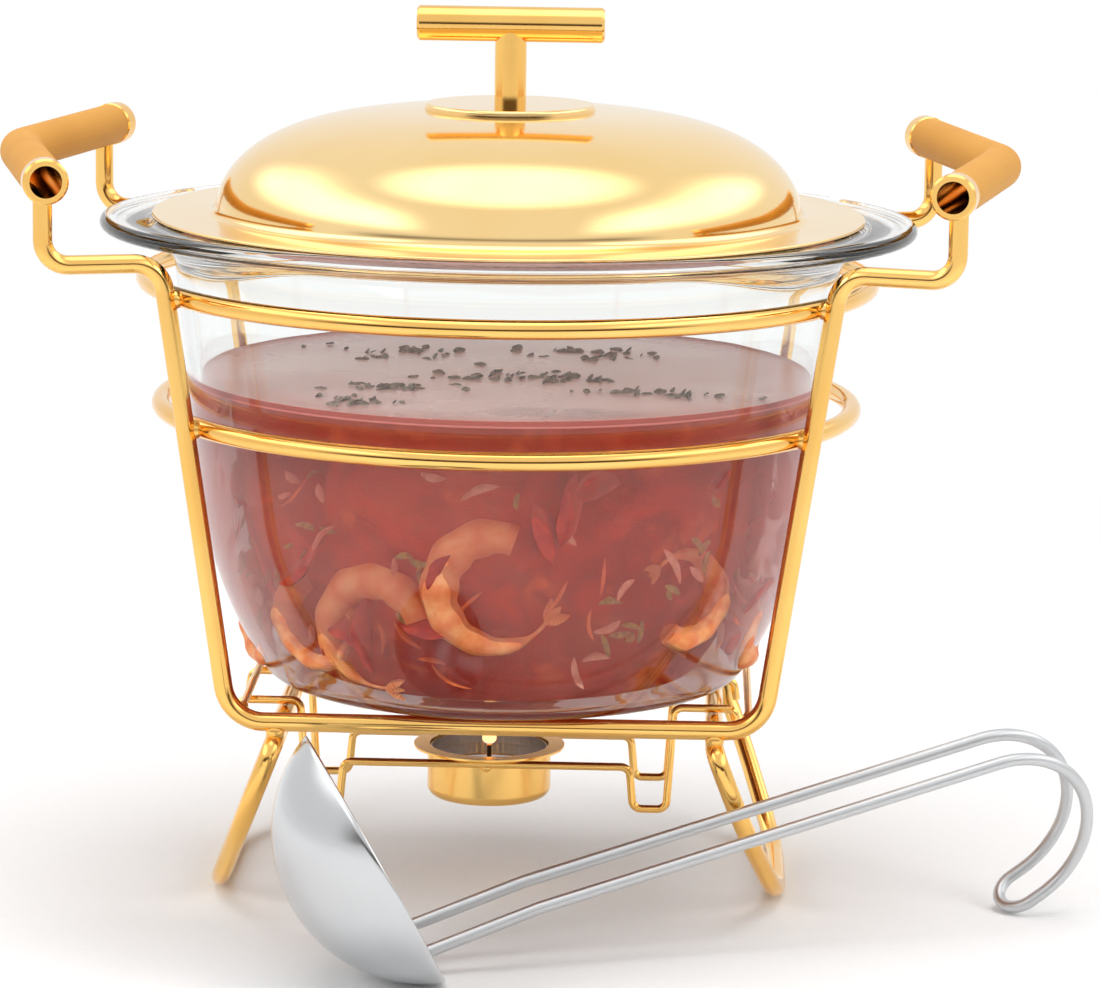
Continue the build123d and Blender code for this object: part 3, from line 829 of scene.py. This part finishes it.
class TUREEN_OT_morsels(bpy.types.Operator):
    """Float shrimps, onion slivers, pepper strips and herbs in the soup"""

    bl_idname = "tureen.morsels"
    bl_label = "Shrimps and herbs"

    def place(self, turn, height, depth):
        """Point at an angle round the bowl, a height and a depth inside its wall."""
        radius = wall_r(height, GLASS_WALL) - depth
        return Vector((radius * math.sin(turn), -radius * math.cos(turn), height))

    def shrimp(self, index, turn, height, size, roll, finish):
        """A curled shrimp that lies flat against the wall, with a fanned tail."""
        middle = self.place(turn, height, size * 0.36)
        outward = Vector((math.sin(turn), -math.cos(turn), 0))
        level = Vector((math.cos(turn), math.sin(turn), 0))
        upright = Vector((0, 0, 1))
        points = []
        radii = []
        steps = 46
        for step in range(steps + 1):
            share = step / steps
            angle = math.radians(roll + 255 * share)
            spread = size * (1.0 + 0.12 * share)
            bend = (level * math.cos(angle) + upright * math.sin(angle)) * spread
            lean = outward * (1.5 - 3.0 * share)
            points.append(middle + bend + lean)
            body = math.sin(math.pi * min(1.0, 0.16 + share * 0.9)) ** 0.55
            ridge = 1 + 0.07 * math.cos(share * 44.0)
            radii.append(max(0.6, size * 0.42 * body * ridge * (1 - 0.35 * share)))
        add_piece(f"shrimp_{index}", tube(f"shrimp {index}", points, radii, 16), finish, "bowl")
        tail = points[-1]
        along = (points[-1] - points[-3]).normalized()
        side = along.cross(outward).normalized()
        for lobe in (-1, 0, 1):
            tip = tail + (along + side * lobe * 0.55) * size * 0.42
            blade = [tail.lerp(tip, share) for share in (0, 0.35, 0.7, 1)]
            name = f"shrimp_{index}_tail_{lobe + 2}"
            mesh = tube(name, blade, [0.5, size * 0.12, size * 0.1, 0.3], 10, flatten=0.35)
            add_piece(name, mesh, finish, "bowl")

    def strips(self, name, count, length, width, heights, finish, chance, front=()):
        """Thin curved strips scattered in the broth as one piece."""
        mesh = bpy.data.meshes.new(name)
        shape = bmesh.new()
        places = list(front)
        while len(places) < count:
            places.append((chance.uniform(0, math.tau), chance.uniform(*heights)))
        for turn, height in places:
            start = self.place(turn, height, chance.uniform(0.8, 5.0))
            level = Vector((math.cos(turn), math.sin(turn), 0))
            tilt = chance.uniform(0, math.pi)
            along = level * math.cos(tilt) + Vector((0, 0, 1)) * math.sin(tilt)
            across = Vector((-math.sin(turn), math.cos(turn), 0)).cross(along)
            reach = length * chance.uniform(0.5, 1.25)
            curve = reach * chance.uniform(-0.18, 0.18)
            points = []
            radii = []
            for step in range(9):
                share = step / 8
                bow = math.sin(share * math.pi)
                points.append(start + along * reach * (share - 0.5) + across * curve * bow)
                radii.append(max(0.15, width * bow**0.6 * chance.uniform(0.85, 1.1)))
            part = tube(name + " part", points, radii, 8, flatten=0.4)
            shape.from_mesh(part)
            bpy.data.meshes.remove(part)
        shape.to_mesh(mesh)
        shape.free()
        add_piece(name, mesh, finish, "bowl")

    def leaves(self, name, clusters, count, finish, chance):
        """Small crumpled leaf pieces in clusters on the soup's top."""
        level = sizes().soup_level / MM
        shape = bmesh.new()
        for x, y, spread_x, spread_y in clusters:
            for _ in range(count):
                centre = Vector((
                    chance.gauss(x, spread_x / 2),
                    chance.gauss(y, spread_y / 2),
                    level + chance.uniform(0.0, 0.5),
                ))
                turn = chance.uniform(0, math.tau)
                along = Vector((math.cos(turn), math.sin(turn), 0))
                reach = chance.uniform(1.6, 6.0)
                points = [centre + along * reach * (step / 4 - 0.5) for step in range(5)]
                for point in points:
                    point.z += chance.uniform(-0.15, 0.35)
                width = chance.uniform(0.5, 1.6)
                radii = [width * share for share in (0.3, 0.8, 1.0, 0.75, 0.25)]
                part = tube(name + " part", points, radii, 6, flatten=0.3)
                shape.from_mesh(part)
                bpy.data.meshes.remove(part)
        mesh = bpy.data.meshes.new(name)
        shape.to_mesh(mesh)
        shape.free()
        add_piece(name, mesh, finish, "bowl")

    def execute(self, context):
        chance = random.Random(SEED)
        flesh = shrimp_finish()
        self.shrimp(1, math.radians(0.5), 114, 16.5, 70, flesh)
        self.shrimp(2, math.radians(-26), 97, 16.0, 20, flesh)
        for index in range(sizes().shrimps):
            turn = math.radians(42 + index * 276 / max(1, sizes().shrimps - 1))
            height = chance.uniform(90, 145)
            self.shrimp(index + 3, turn, height, chance.uniform(12, 15), chance.uniform(0, 360), flesh)
        onion = morsel_finish("onion", (0.70, 0.34, 0.24, 1), (0.55, 0.18, 0.1, 1), 300)
        pepper = morsel_finish("red pepper", (0.30, 0.014, 0.01, 1), (0.45, 0.04, 0.015, 1), 160)
        orange = morsel_finish("shredded carrot", (0.72, 0.16, 0.03, 1), (0.55, 0.09, 0.02, 1), 260)
        green = morsel_finish("herb leaf", (0.10, 0.11, 0.03, 1), (0.30, 0.27, 0.05, 1), 500)
        dry = morsel_finish("dried herb", (0.13, 0.10, 0.07, 1), (0.30, 0.22, 0.18, 1), 700)
        slivers = [(-0.62, 141), (-0.60, 127), (0.47, 113), (0.25, 131), (-0.2, 150), (0.62, 120)]
        self.strips("onion_slivers", 60, 11, 1.5, (86, 158), onion, chance, slivers)
        self.strips("pepper_strips", 26, 22, 5.0, (90, 150), pepper, chance, [(0.16, 133)])
        self.strips("orange_shreds", 60, 16, 0.9, (82, 156), orange, chance, [(0.38, 118)])
        sprigs = [(0.46, 99), (0.5, 101), (0.64, 112), (0.66, 110), (0.52, 97), (-0.7, 118)]
        self.strips("green_sprigs", 70, 7, 1.3, (86, 160), green, chance, sprigs)
        clusters = [
            (-38, -34, 18, 7), (-45, -62, 12, 10), (-7, -10, 26, 12), (21, -13, 16, 10),
            (54, -40, 26, 10), (30, 40, 30, 16), (-40, 35, 26, 18),
        ]
        self.leaves("floating_herbs", clusters, sizes().herbs, dry, chance)
        return {"FINISHED"}


class TUREEN_OT_candle(bpy.types.Operator):
    """Finish the candle holder and the tealight, and light its flame"""

    bl_idname = "tureen.candle"
    bl_label = "Candle"

    def execute(self, context):
        wires = ["front_cradle_wire", "rear_cradle_wire", "cradle_weld_beads"]
        dress(wires, gold_finish("cradle gold", 0.1, 0.1))
        dress(["candle_cup"], gold_finish("cup gold", 0.2, 0.3))
        dress(["tealight_tin", "wick_sustainer"], tin_finish())
        dress(["tealight_wax"], wax_finish())
        dress(["tealight_wick"], wick_finish())
        height = sizes().flame_height / MM
        outline = []
        for step in range(21):
            share = step / 20
            bulge = max(0.0, math.sin(math.pi * share**0.7)) ** 0.9
            outline.append((FLAME_R * bulge * (1 - 0.2 * share), FLAME_FOOT + height * share))
        flame = turned("flame", outline, (HOLDER_X, HOLDER_Y), 80, 32)
        add_piece("candle_flame", flame, flame_finish(), "tealight")
        return {"FINISHED"}


class TUREEN_OT_ladle(bpy.types.Operator):
    """Build the ladle's round bowl and finish its hairpin handle"""

    bl_idname = "tureen.ladle"
    bl_label = "Ladle"

    def height(self, ball_r, centre_z):
        """Height of the middle of the ladle's mouth above the table."""
        return ball_r - centre_z * math.sin(math.radians(LADLE_ELEVATION))

    def execute(self, context):
        ball_r = (LADLE_R**2 + LADLE_DEPTH**2) / (2 * LADLE_DEPTH)
        centre = (0, ball_r - LADLE_DEPTH)
        within_r = ball_r - LADLE_SHEET
        lip_r = LADLE_SHEET / 2
        reach = math.degrees(math.atan2(-centre[1], LADLE_R))
        reach_within = math.degrees(math.asin(-centre[1] / within_r))
        outline = arc(centre, ball_r, -90, reach, 40)
        outline += arc((LADLE_R - lip_r, 0), lip_r, 20, 160, 6)
        outline += arc(centre, within_r, reach_within, -90, 40)
        place = (
            Matrix.Translation(Vector((LADLE_X, LADLE_Y, self.height(ball_r, centre[1]))) * MM)
            @ Matrix.Rotation(math.radians(LADLE_AZIMUTH), 4, "Z")
            @ Matrix.Rotation(math.radians(90 - LADLE_ELEVATION), 4, "Y")
            @ Matrix.Rotation(math.radians(LADLE_ROLL), 4, "Z")
        )
        mesh = turned("ladle bowl", outline, sharp=60, sides=180)
        mesh.transform(place)
        bowl = add_piece("ladle_bowl_sheet", mesh, steel_finish("ladle steel", 0.09), "ladle")
        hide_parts("ladle_bowl")
        dress(["ladle_handle_wire", "ladle_weld_beads"], steel_finish("ladle wire steel", 0.3))
        return {"FINISHED"}


class TUREEN_OT_stage(bpy.types.Operator):
    """Set up the pale floor, the soft lights, the white surroundings and the camera"""

    bl_idname = "tureen.stage"
    bl_label = "Stage"

    def floor(self):
        """A wide floor that keeps the shadow near the tureen and turns white farther out."""
        shape = bmesh.new()
        bmesh.ops.create_grid(shape, x_segments=24, y_segments=24, size=6.0)
        mesh = bpy.data.meshes.new("floor")
        shape.to_mesh(mesh)
        shape.free()
        floor = bpy.data.objects.new("floor", mesh)
        floor.location.z = -0.0004
        bpy.context.scene.collection.objects.link(floor)
        material, graph = new_finish("pale floor")
        x, y, z = graph.parts(graph.place())
        far = ((x * x + y * y) ** 0.5).between(0.32, 0.85)
        grain = graph.noise(300, 3)
        near = graph.surface({
            "Base Color": graph.blend(grain, (0.86, 0.86, 0.86, 1), (0.9, 0.9, 0.9, 1)),
            "Roughness": 0.75 + grain * 0.1,
        })
        white = graph.signal("ShaderNodeEmission", "Emission", inputs={"Strength": 1.0})
        seen = graph.node("ShaderNodeLightPath").outputs
        looked = Signal(graph, seen["Is Camera Ray"])
        through = Signal(graph, seen["Is Transmission Ray"])
        mirrored = Signal(graph, seen["Is Glossy Ray"])
        share = far * graph.math("MINIMUM", looked + through + mirrored, 1.0)
        mixed = graph.node("ShaderNodeMixShader", inputs={0: share, 1: near, 2: white})
        graph.finish(Signal(graph, mixed.outputs[0]))
        mesh.materials.append(material)

    def surroundings(self):
        """White where the camera and glass look; metal mirrors soft boxes and a dark strip."""
        world = bpy.data.worlds.new("studio")
        bpy.context.scene.world = world
        world.use_nodes = True
        graph = Graph(world.node_tree)

        def background(colour, strength):
            inputs = {"Color": colour, "Strength": strength}
            return graph.signal("ShaderNodeBackground", "Background", inputs=inputs)

        def mix(share, low, high):
            made = graph.node("ShaderNodeMixShader", inputs={0: share, 1: low, 2: high})
            return Signal(graph, made.outputs[0])

        x, y, z = graph.parts(graph.signal("ShaderNodeTexCoord", "Generated"))
        toward_camera = (0 - y).between(0.35, 0.8)
        strip = toward_camera * z.between(-0.32, -0.1) * (1 - z.between(0.1, 0.3))
        sideways = graph.math("ABSOLUTE", x)
        side_box = sideways.between(0.42, 0.7) * z.between(0.3, 0.5) * (1 - z.between(0.62, 0.85))
        boxes = graph.math("MAXIMUM", side_box, z.between(0.84, 0.97))
        seen = graph.node("ShaderNodeLightPath").outputs
        looked = Signal(graph, seen["Is Camera Ray"])
        through = Signal(graph, seen["Is Transmission Ray"])
        mirrored = Signal(graph, seen["Is Glossy Ray"])
        ambient = background((1, 1, 1, 1), 0.55)
        reflected = mix(strip, background((1, 1, 1, 1), 0.92), background((0.05, 0.03, 0.02, 1), 1.0))
        reflected = mix(boxes, reflected, background((1, 1, 1, 1), 2.2))
        clear = graph.math("MINIMUM", looked + through, 1.0)
        all_rays = mix(clear, mix(mirrored, ambient, reflected), background((1, 1, 1, 1), 1.0))
        graph.node("ShaderNodeOutputWorld", inputs={"Surface": all_rays})

    def lamp(self, name, place, aim, width, height, power):
        """A soft rectangular light."""
        light = bpy.data.lights.new(name, "AREA")
        light.shape = "RECTANGLE"
        light.size = width
        light.size_y = height
        light.energy = power
        lamp = bpy.data.objects.new(name, light)
        lamp.location = place
        lamp.rotation_euler = (Vector(aim) - Vector(place)).to_track_quat("-Z", "Y").to_euler()
        lamp.visible_glossy = False
        bpy.context.scene.collection.objects.link(lamp)

    def camera(self):
        """The photograph's viewpoint, solved from the rings and the frames."""
        distance = 1500.0
        around = 0.0374
        aim = around - 0.00971
        pitch = 0.18259
        roll = math.radians(0.8)
        lens = bpy.data.cameras.new("camera")
        lens.sensor_width = 36.0
        lens.lens = 152.73
        lens.clip_start = 0.05
        lens.clip_end = 60.0
        camera = bpy.data.objects.new("camera", lens)
        forward = Vector((
            -math.sin(aim) * math.cos(pitch),
            math.cos(aim) * math.cos(pitch),
            -math.sin(pitch),
        ))
        right = forward.cross(Vector((0, 0, 1))).normalized()
        up = right.cross(forward)
        right, up = (
            right * math.cos(roll) + up * math.sin(roll),
            up * math.cos(roll) - right * math.sin(roll),
        )
        place = Vector((distance * math.sin(around), -distance * math.cos(around), 404.6)) * MM
        turn = Matrix((right, up, -forward)).transposed()
        camera.matrix_world = Matrix.Translation(place) @ turn.to_4x4()
        bpy.context.scene.collection.objects.link(camera)
        bpy.context.scene.camera = camera

    def execute(self, context):
        context.scene.view_settings.view_transform = "Standard"
        self.floor()
        self.surroundings()
        self.lamp("overhead", (0.0, 0.1, 1.5), (0, 0, 0.1), 1.6, 1.2, 16)
        self.lamp("left_box", (-1.1, -0.9, 0.75), (0, 0, 0.15), 0.7, 0.9, 9)
        self.lamp("right_box", (1.15, -0.8, 0.7), (0, 0, 0.15), 0.6, 0.9, 8)
        self.camera()
        return {"FINISHED"}


PIECES = (
    TUREEN_OT_stand,
    TUREEN_OT_glass,
    TUREEN_OT_soup,
    TUREEN_OT_morsels,
    TUREEN_OT_lid,
    TUREEN_OT_candle,
    TUREEN_OT_ladle,
    TUREEN_OT_stage,
)


class TUREEN_PT_panel(bpy.types.Panel):
    """Lists the tureen's pieces with their sizes and colours."""

    bl_idname = "TUREEN_PT_panel"
    bl_label = "Tureen"
    bl_space_type = "VIEW_3D"
    bl_region_type = "UI"
    bl_category = "Tureen"

    def draw(self, context):
        for piece in PIECES:
            self.layout.operator(piece.bl_idname)
        for group in (context.scene.tureen_sizes, context.scene.tureen_colours):
            for key in group.__annotations__:
                self.layout.prop(group, key)


CLASSES = (TureenColours, TureenSizes, *PIECES, TUREEN_PT_panel)


def register():
    for item in CLASSES:
        bpy.utils.register_class(item)
    bpy.types.Scene.tureen_colours = bpy.props.PointerProperty(type=TureenColours)
    bpy.types.Scene.tureen_sizes = bpy.props.PointerProperty(type=TureenSizes)


def unregister():
    del bpy.types.Scene.tureen_colours
    del bpy.types.Scene.tureen_sizes
    for item in reversed(CLASSES):
        bpy.utils.unregister_class(item)


def main():
    """Build every piece."""
    register()
    for piece in PIECES:
        group, call = piece.bl_idname.split(".")
        getattr(getattr(bpy.ops, group), call)()


if __name__ == "__main__":
    main()
